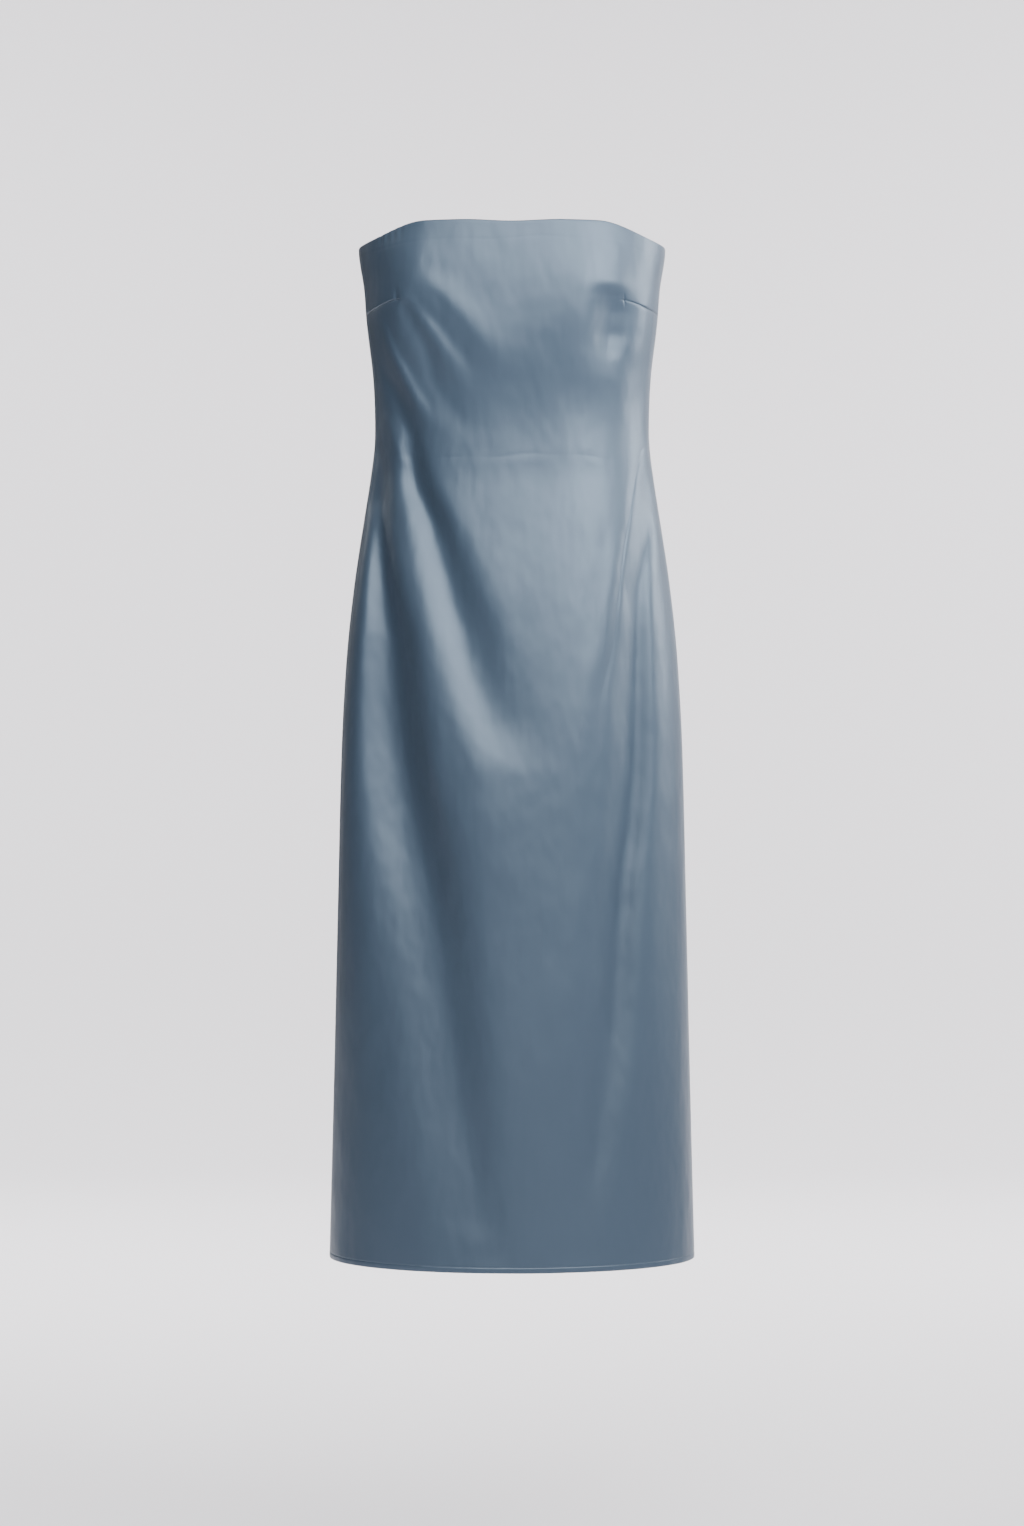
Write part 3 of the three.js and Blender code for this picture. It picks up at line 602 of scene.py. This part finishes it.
def sheet_object(name, points, cut_place, material):
    """A sheet of cloth from a grid of points, with the place of each on the flat cut as its UV."""
    rows, columns = points.shape[:2]
    mesh = bpy.data.meshes.new(name)
    index = np.arange(rows * columns).reshape(rows, columns)
    corners = np.stack([index[:-1, :-1], index[1:, :-1], index[1:, 1:], index[:-1, 1:]], axis=-1)
    mesh.from_pydata((points.reshape(-1, 3) * MM).tolist(), [], corners.reshape(-1, 4).tolist())
    layer = mesh.uv_layers.new(name="cut")
    loops = np.empty(len(mesh.loops), dtype=np.int64)
    mesh.loops.foreach_get("vertex_index", loops)
    layer.data.foreach_set("uv", (cut_place.reshape(-1, 2)[loops] * MM).ravel())
    mesh.polygons.foreach_set("use_smooth", np.ones(len(mesh.polygons), dtype=bool))
    mesh.materials.append(material)
    mesh.update()
    sheet = bpy.data.objects.new(name, mesh)
    bpy.context.collection.objects.link(sheet)
    return sheet


def give_thickness(sheet):
    wall = sheet.modifiers.new("cloth", "SOLIDIFY")
    wall.thickness = CLOTH_THICK * MM
    wall.offset = -1
    bpy.ops.object.select_all(action="DESELECT")
    bpy.context.view_layer.objects.active = sheet
    sheet.select_set(True)
    bpy.ops.object.modifier_apply(modifier=wall.name)


def press_lines(row, x, front):
    """The wandering line where the turned top ends inside, the stitched one at the hem, and the
    small puckers that the turned top draws at the right end of the front."""
    wander = 1.1 * np.sin(x / 31 + 0.6) + 0.6 * np.sin(x / 13)
    turned = PRESS_DEEP * bell((row - TOP_PRESS - wander) / 1.3)
    turned -= PRESS_STANDS * smooth(-17, -11, row - wander) * (row < -3)
    stitched = STITCH_DEEP * bell((row - HEM - HEM_STITCH) / 0.5)
    stitched -= HEM_STANDS * smooth(7, 4, row - HEM) * (row > HEM + 1)
    if not front:
        return turned + stitched
    drawn = smooth(PUCKER_END - 3, PUCKER_END + 3, x) * (1 - smooth(PUCKER_START - 8, PUCKER_START, x))
    pucker = 0.5 - 0.5 * np.cos(2 * math.pi * (x + 0.8 * np.sin(row / 4)) / PUCKER_PITCH)
    return turned + stitched + PUCKER_DEEP * pucker * drawn * smooth(-17, -4, row)


def cut_panel(name, start, end, columns, fine, front, extra_rows):
    """One panel of the dress from seam to seam, with its edges turned, on its solid's form."""
    even = front_angles(columns) if front else back_angles(start, end, columns)
    middle = even[2:-2]
    first = [(math.radians(start), along, inset) for along, inset in TURNED_SEAM]
    last = [(math.radians(end), -along, inset) for along, inset in reversed(TURNED_SEAM)]
    lines = first + [(a, 0.0, 0.0) for a in middle] + last
    base = np.array([line[0] for line in lines])
    along = np.array([line[1] for line in lines])
    seam_inset = np.array([line[2] for line in lines])
    rows = cloth_rows(fine, extra_rows)
    row = np.array([r[0] for r in rows])[:, None]
    row_inset = np.array([r[1] for r in rows])[:, None]
    place_x, place_y = plain_point(base[None, :] + 0 * row, row + 0 * base[None, :])
    z = row_height(row, place_x, front)
    at_zip = (np.abs(base - math.pi) < 1e-6)[None, :] * np.sign(along)[None, :]
    parted = PARTED * (1 - smooth(PARTED_TALL, PARTED_TALL + PARTED_FADE, np.abs(z - PARTED_AT)))
    angle = base[None, :] + (along[None, :] + at_zip * parted) / np.hypot(place_x, place_y)
    if front:
        angle = follow_guides(angle, z)
    points = cloth_point(angle, z, front)
    normal = surface_normal(angle, z, front)
    seam_share = 1 - row_inset / CORNER_DEEP
    inset = row_inset + seam_inset[None, :] * seam_share + press_lines(row, place_x, front)
    points = points - normal * inset[..., None]
    tucked = (seam_inset > 0.8)[None, :] * TUCK
    points[..., 2] += tucked * (smooth(HEM + 4, HEM, row) - smooth(-4, 0, row))
    step = np.linalg.norm(np.diff(points, axis=1), axis=-1).mean(axis=0)
    across = np.concatenate([[0], np.cumsum(step)])
    drop = np.linalg.norm(np.diff(points, axis=0), axis=-1).mean(axis=1)
    down = np.concatenate([[0], np.cumsum(drop)])
    cut_place = np.stack(np.broadcast_arrays(across[None, :], -down[:, None]), axis=-1)
    sheet = sheet_object(name, points, cut_place, satin)
    give_thickness(sheet)
    return sheet


# Front. One panel of satin cut on the fold, shaped by a bust dart from each side seam. It has
# closer rows at the darts and at the waist crease.
FRONT_COLUMNS, FRONT_ROW = 124, 3.3
dart_rows = [DART_TIP + d for d in (-5, -3, -1.8, -0.9, -0.4, 0, 0.4, 0.9, 1.8, 3, 5)]
crease_rows = [WAIST_CREASE + d for d in (-4, -2.4, -1.2, 0, 1.2, 2.4, 4)]
front_panel = cut_panel("front_satin", -90, 90, FRONT_COLUMNS, FRONT_ROW, True, dart_rows + crease_rows)
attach(front_panel, "dress")
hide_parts("front")

# Backs. A left and a right panel of the same satin, with a fish-eye dart in each, joined below
# the zip by the centre back seam.
BACK_COLUMNS, BACK_ROW = 72, 3.2
for name, start, end in (("back_left", 90, 180), ("back_right", 180, 270)):
    back_panel = cut_panel(name + "_satin", start, end, BACK_COLUMNS, BACK_ROW, False, [])
    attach(back_panel, "dress")
    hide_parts(name)


# Hem stitches. One row of fine stitching in matching thread, all round the dress 5.5 mm above
# the edge. Each stitch is a short float of thread that dives into the cloth at both ends.
STITCH_PITCH, STITCH_LONG, THREAD_THICK = 2.3, 1.7, 0.3
STITCH_BEND, STITCH_DIP, STITCH_TAPER, STITCH_SUNK = 0.5, 0.26, 0.25, 0.12
HEM_WALK, LAST_STITCH = 1500, 1.5


def thread_material():
    """Twisted polyester thread: fine slanting plies, a little lighter than the cloth."""
    material, shader = new_finish("sewing thread")
    tree = material.node_tree
    shader.inputs["Sheen Weight"].default_value = 0.2
    shader.inputs["Roughness"].default_value = 0.6
    plies = tree.nodes.new("ShaderNodeTexWave")
    plies.wave_type = "BANDS"
    plies.bands_direction = "DIAGONAL"
    plies.inputs["Scale"].default_value = 900
    tree.links.new(object_place(tree), plies.inputs["Vector"])
    dye(tree, (0.075, 0.105, 0.145), (0.120, 0.165, 0.220), plies.outputs["Fac"])
    raise_relief(tree, 0.4, 0.00005, plies.outputs["Fac"])
    return material


sewing_thread = thread_material()


def edit_all(mesh_object):
    """Select one object alone and open it in edit mode with everything in it selected."""
    bpy.ops.object.select_all(action="DESELECT")
    bpy.context.view_layer.objects.active = mesh_object
    mesh_object.select_set(True)
    bpy.ops.object.mode_set(mode="EDIT")
    bpy.ops.mesh.select_all(action="SELECT")


def one_stitch():
    """A float of thread along +X, thickest in its middle and bent down at both ends."""
    bpy.ops.object.select_all(action="DESELECT")
    bpy.ops.mesh.primitive_cylinder_add(vertices=6, radius=THREAD_THICK / 2, depth=STITCH_LONG,
                                        end_fill_type="TRIFAN", rotation=(0, math.pi / 2, 0))
    stitch = bpy.context.object
    bpy.ops.object.transform_apply(location=True, rotation=True, scale=True)
    edit_all(stitch)
    for bend in (-STITCH_BEND, STITCH_BEND):
        bpy.ops.mesh.select_all(action="SELECT")
        bpy.ops.mesh.bisect(plane_co=(bend, 0, 0), plane_no=(1, 0, 0))
    bpy.ops.object.mode_set(mode="OBJECT")
    for vertex in stitch.data.vertices:
        share = abs(vertex.co.x) / (STITCH_LONG / 2)
        vertex.co.z -= STITCH_DIP * max(0, share - 0.5) * 2
        vertex.co.y *= 1 - STITCH_TAPER * share
    return stitch


def copies_joined(name, model, places, material):
    """One piece out of many copies of a small model, each laid at its own place and turn."""
    count = len(model.data.vertices)
    local = np.empty(count * 3)
    model.data.vertices.foreach_get("co", local)
    local = local.reshape(-1, 3)
    faces = [list(face.vertices) for face in model.data.polygons]
    points, all_faces = [], []
    for number, (at, right, up, out) in enumerate(places):
        turn = np.stack([right, up, out])
        points.append(local @ turn + at)
        all_faces += [[index + number * count for index in face] for face in faces]
    mesh = bpy.data.meshes.new(name)
    mesh.from_pydata((np.concatenate(points) * MM).tolist(), [], all_faces)
    mesh.polygons.foreach_set("use_smooth", [True] * len(mesh.polygons))
    mesh.materials.append(material)
    mesh.update()
    joined = bpy.data.objects.new(name, mesh)
    bpy.context.collection.objects.link(joined)
    return joined


def unit(vector):
    return vector / np.linalg.norm(vector)


def places_along_hem(start, end, front):
    """Places for stitches: a walk round the hem from one seam to the next at the stitch pitch."""
    fine = np.linspace(math.radians(start), math.radians(end), HEM_WALK)
    level = np.full_like(fine, HEM + HEM_STITCH)
    x = plain_point(fine, level)[0]
    z = row_height(level, x, front)
    turned = follow_guides(fine, z) if front else fine
    line = cloth_point(turned, z, front)
    out = surface_normal(turned, z, front)
    walked = np.concatenate([[0], np.cumsum(np.linalg.norm(np.diff(line, axis=0), axis=1))])
    found = []
    for at in np.arange(STITCH_PITCH, walked[-1] - LAST_STITCH, STITCH_PITCH):
        k = min(int(np.searchsorted(walked, at)), len(line) - 2)
        right = unit(line[k + 1] - line[k - 1])
        up = unit(np.cross(out[k], right))
        found.append((line[k] - out[k] * STITCH_SUNK, right, up, unit(np.cross(right, up))))
    return found


stitch = one_stitch()
for name, start, end, front_side in (("hem_stitches_front", -90, 90, True),
                                     ("hem_stitches_back_left", 90, 180, False),
                                     ("hem_stitches_back_right", 180, 270, False)):
    row = copies_joined(name, stitch, places_along_hem(start, end, front_side), sewing_thread)
    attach(row, "dress")
bpy.data.objects.remove(stitch)

# Zip tapes. Two strips of knitted polyester tape, 11 mm wide, sewn inside the backs beside the
# opening. A cord is knitted into the inner edge of each, where the coil is sewn on.
ZIP_HEAD, ZIP_FOOT, TAPE_ROW = -8.0, -405.0, -2.5
BEHIND_SEAM, BEHIND_SLIDER, SLIDER_ROOM = 1.55, 0.8, (-29, -17)
KNIT = 0.0008
TAPE_EDGE = [
    # across from the centre back, depth from the face of the tape
    (1.0, 0.25), (1.15, 0.06), (1.6, 0), (2.4, 0), (2.9, 0.12), (7, 0.1), (11.4, 0.12), (12, 0.25),
    (12, 0.45), (11.4, 0.58), (7, 0.6), (2.9, 0.58), (2.4, 0.7), (1.6, 0.7), (1.15, 0.64), (1.0, 0.45),
]


def tape_material():
    """Knitted tape: even wales down the strip and courses across it, dyed near the satin."""
    material, shader = new_finish("zip tape")
    tree = material.node_tree
    shader.inputs["Sheen Weight"].default_value = 0.3
    knit = woven(tree, KNIT)
    dye(tree, (0.035, 0.052, 0.075), (0.075, 0.105, 0.145), knit.outputs["Height"])
    roughen(tree, 0.7, 0.9, knit.outputs["Slub"])
    raise_relief(tree, 0.6, 0.00015, knit.outputs["Height"])
    return material


knitted_tape = tape_material()


def tape_face(across, z):
    """How far back the outer face of the tape lies: behind the cloth and its seam allowance, and
    a little deeper beside the slider."""
    angle = angle_at(across, z, False)
    behind = BEHIND_SEAM + BEHIND_SLIDER * smooth(*SLIDER_ROOM, z)
    return cloth_point(angle, z, False)[..., 1] - behind


def make_tape(name, side):
    """A closed strip: the outline of the tape's cross section, carried down the back."""
    z = np.arange(ZIP_HEAD, ZIP_FOOT - 0.1, TAPE_ROW)[:, None]
    across = np.array([edge[0] for edge in TAPE_EDGE])[None, :] * side + 0 * z
    depth = np.array([edge[1] for edge in TAPE_EDGE])[None, :]
    points = np.stack([across, tape_face(across, z + 0 * across) - depth, z + 0 * across], axis=-1)
    rows, columns = points.shape[:2]
    index = np.arange(rows * columns).reshape(rows, columns)
    after = np.roll(index, -1, axis=1)
    faces = np.stack([index[:-1], after[:-1], after[1:], index[1:]], axis=-1).reshape(-1, 4).tolist()
    faces += [index[0][::-1].tolist(), index[-1].tolist()]
    if side < 0:
        faces = [face[::-1] for face in faces]
    mesh = bpy.data.meshes.new(name)
    mesh.from_pydata((points.reshape(-1, 3) * MM).tolist(), [], faces)
    layer = mesh.uv_layers.new(name="cut")
    for loop in mesh.loops:
        place = mesh.vertices[loop.vertex_index].co
        layer.data[loop.index].uv = (place.x, place.z)
    mesh.materials.append(knitted_tape)
    mesh.update()
    tape = bpy.data.objects.new(name, mesh)
    bpy.context.collection.objects.link(tape)
    return tape


for side, panel in ((1, "left"), (-1, "right")):
    tape = make_tape("zip_tape_%s_knitted" % panel, side)
    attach(tape, "dress")
    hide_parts("zip_tape_%s" % panel)

# Zip coil. Two flattened nylon coils, one on the inner edge of each tape, whose turns lock into
# each other from the slider down to 6 mm above the foot of the tapes.
SLIDER_FOOT = -19
TURN_PITCH, TURN_WIDE, TURN_DEEP, WIRE, TURN_LEAN, HEAD_WIDER = 1.4, 1.5, 0.62, 0.26, 9, 1.35
COIL_ACROSS, COIL_BEHIND, COIL_STOP = 1.2, 0.95, 6


def nylon_material():
    """Dyed nylon wire with faint drawing lines."""
    material, shader = new_finish("zip nylon")
    tree = material.node_tree
    shader.inputs["Coat Roughness"].default_value = 0.3
    lines = noise(tree, object_place(tree), 1400, 2)
    dye(tree, (0.045, 0.066, 0.095), (0.070, 0.100, 0.140), lines)
    roughen(tree, 0.3, 0.45, lines)
    return material


nylon = nylon_material()


def one_turn():
    """A turn of the coil: a ring of wire pressed flat, its head towards the other coil wider."""
    bpy.ops.object.select_all(action="DESELECT")
    bpy.ops.mesh.primitive_torus_add(major_segments=9, minor_segments=4, major_radius=1,
                                     minor_radius=WIRE)
    turn = bpy.context.object
    edit_all(turn)
    bpy.ops.transform.resize(value=(TURN_WIDE, TURN_DEEP, 1))
    bpy.ops.transform.rotate(value=math.radians(TURN_LEAN), orient_axis="X",
                             center_override=(0, 0, 0))
    bpy.ops.object.mode_set(mode="OBJECT")
    for vertex in turn.data.vertices:
        if vertex.co.x < -TURN_WIDE * 0.7:
            vertex.co.z *= HEAD_WIDER
    return turn


turn = one_turn()
down, inward = np.array([0.0, 0.0, -1.0]), np.array([0.0, -1.0, 0.0])
for side, panel in ((1, "left"), (-1, "right")):
    places = []
    shift = 0 if side > 0 else TURN_PITCH / 2
    for z in np.arange(SLIDER_FOOT - 1 - shift, ZIP_FOOT + COIL_STOP, -TURN_PITCH):
        across = side * COIL_ACROSS
        at = np.array([across, float(tape_face(across, z)) - COIL_BEHIND, z])
        places.append((at, np.array([side, 0.0, 0.0]), inward * side, down))
    coil = copies_joined("zip_coil_" + panel, turn, places, nylon)
    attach(coil, "dress")
bpy.data.objects.remove(turn)

# Zip slider and pull. Small die-cast pieces, painted to match the cloth: the slider holds the
# coils inside, its bridge stands out through the opening, and the pull hangs from the bridge.
# These lengths are in metres, because they are worked into copies of the solids.
CAST_EDGE, PULL_RIM, PULL_SUNK, SAME_POINT = 0.00022, 0.0005, 0.00012, 0.00001
FLAT_WITHIN, EDGE_PAST, SMOOTH_WITHIN = 2, 28, 35


def painted_metal():
    """Enamel over die-cast metal: slightly uneven paint, thinner and brighter in small worn spots."""
    material, shader = new_finish("painted metal")
    tree = material.node_tree
    shader.inputs["Metallic"].default_value = 0.35
    drift = noise(tree, object_place(tree), 900, 4)
    spots = tree.nodes.new("ShaderNodeMapRange")
    spots.inputs["From Min"].default_value = 0.5
    spots.inputs["From Max"].default_value = 0.8
    tree.links.new(drift, spots.inputs["Value"])
    dye(tree, (0.090, 0.130, 0.185), (0.125, 0.170, 0.230), spots.outputs["Result"])
    roughen(tree, 0.26, 0.42, drift)
    raise_relief(tree, 0.15, 0.00004, drift)
    return material


enamel = painted_metal()


def cast_piece(node, name, rim):
    """The solid's form as it is cast: flats merged, its faces sunk inside a rim where it has one,
    and every edge rounded."""
    piece = bpy.data.objects.new(name, bpy.data.objects[node].data.copy())
    bpy.context.collection.objects.link(piece)
    piece.matrix_world = bpy.data.objects[node].matrix_world
    piece.data.materials.clear()
    piece.data.materials.append(enamel)
    edit_all(piece)
    bpy.ops.mesh.remove_doubles(threshold=SAME_POINT)
    bpy.ops.mesh.dissolve_limited(angle_limit=math.radians(FLAT_WITHIN))
    if rim:
        bpy.ops.mesh.select_all(action="DESELECT")
        bpy.ops.object.mode_set(mode="OBJECT")
        for face in piece.data.polygons:
            face.select = abs(face.normal.y) > 0.95
        bpy.ops.object.mode_set(mode="EDIT")
        bpy.ops.mesh.inset(thickness=rim, depth=-PULL_SUNK, use_boundary=True)
    bpy.ops.object.mode_set(mode="OBJECT")
    soften = piece.modifiers.new("cast edges", "BEVEL")
    soften.width = CAST_EDGE
    soften.segments = 3
    soften.limit_method = "ANGLE"
    soften.angle_limit = math.radians(EDGE_PAST)
    bpy.ops.object.modifier_apply(modifier=soften.name)
    bpy.ops.object.shade_smooth_by_angle(angle=math.radians(SMOOTH_WITHIN))
    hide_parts(node)
    return piece


slider = cast_piece("zip_slider", "zip_slider_cast", 0)
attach(slider, "dress")
pull = cast_piece("zip_pull", "zip_pull_cast", PULL_RIM)
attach(pull, "pull")


# Studio. A pale seamless floor and wall of paper with a wide soft cove between them. The wall ends
# just out of the picture on the left, where the unlit room beyond keeps that edge of the satin dark.
FLOOR, FLOOR_FRONT, FLOOR_SIDE = -1.36, -2.5, 5
WALL_AWAY, WALL_TOP, LEFT_END = 5.2, 6.0, -1.45
COVE, COVE_STEPS = 1.6, 16
paper, paper_shader = new_finish("studio paper")
paper_shader.inputs["Base Color"].default_value = (0.72, 0.70, 0.73, 1)
paper_shader.inputs["Roughness"].default_value = 0.9
profile = [(FLOOR_FRONT, FLOOR), (0.0, FLOOR), (WALL_AWAY - COVE, FLOOR)]
for k in range(1, COVE_STEPS + 1):
    turn = math.pi / 2 * k / COVE_STEPS
    profile.append((WALL_AWAY - COVE + COVE * math.sin(turn), FLOOR + COVE * (1 - math.cos(turn))))
profile.append((WALL_AWAY, WALL_TOP))
studio = bmesh.new()
left = [studio.verts.new((-FLOOR_SIDE if y <= 0 else LEFT_END, y, z)) for y, z in profile]
right = [studio.verts.new((FLOOR_SIDE, y, z)) for y, z in profile]
for k in range(len(profile) - 1):
    studio.faces.new((left[k], right[k], right[k + 1], left[k + 1]))
studio_mesh = bpy.data.meshes.new("studio")
studio.to_mesh(studio_mesh)
studio.free()
studio_mesh.polygons.foreach_set("use_smooth", [True] * len(studio_mesh.polygons))
studio_mesh.materials.append(paper)
backdrop = bpy.data.objects.new("studio", studio_mesh)
bpy.context.collection.objects.link(backdrop)

# Lights. A large soft box in front and above, weaker ones at both sides and at the front right,
# two for the wall and one for the floor.
SOFT_BOXES = [
    # name, place, aim, width and height, power, spread
    ("key", (0.6, -2.7, 1.3), (0, 0, -0.1), (3.9, 1.8), 228, 180),
    ("left", (-2.5, -0.2, 1.5), (0, 0, -0.5), (1.3, 1.3), 8, 180),
    ("right", (1.9, 0.35, 0.35), (0.1, 0, -0.1), (0.5, 1.2), 18.5, 110),
    ("front right", (1.5, -1.4, 0.42), (0.1, 0, 0.0), (0.7, 0.5), 2.8, 44),
    ("wall left", (-2.6, 2.2, 1.1), (-0.6, 5.2, -0.8), (2.5, 1.5), 230, 180),
    ("wall right", (2.6, 2.2, 1.1), (0.6, 5.2, -0.8), (2.5, 1.5), 230, 180),
    ("floor", (0, 2.7, 1.9), (0, 1.1, -1.36), (3.0, 1.0), 76, 120),
]
for name, place, aim, size, power, spread in SOFT_BOXES:
    soft_box = bpy.data.lights.new(name, "AREA")
    soft_box.shape = "RECTANGLE"
    soft_box.size, soft_box.size_y = size
    soft_box.energy = power
    soft_box.spread = math.radians(spread)
    light = bpy.data.objects.new(name, soft_box)
    light.location = place
    light.rotation_euler = (Vector(aim) - Vector(place)).to_track_quat("-Z", "Y").to_euler()
    bpy.context.collection.objects.link(light)

# Room. The space round the studio shows as a plain grey where a camera sees it, and is almost
# unlit for the dress, so that the soft boxes alone shade the satin.
ROOM_UNLIT, ROOM_SEEN = 0.02, 0.5
world = bpy.data.worlds.new("room")
world.use_nodes = True
room = world.node_tree.nodes["Background"]
room.inputs["Color"].default_value = (0.95, 0.96, 1.0, 1)
seen = world.node_tree.nodes.new("ShaderNodeLightPath")
room_light = world.node_tree.nodes.new("ShaderNodeMapRange")
room_light.inputs["To Min"].default_value = ROOM_UNLIT
room_light.inputs["To Max"].default_value = ROOM_SEEN
world.node_tree.links.new(seen.outputs["Is Camera Ray"], room_light.inputs["Value"])
world.node_tree.links.new(room_light.outputs["Result"], room.inputs["Strength"])
bpy.context.scene.world = world
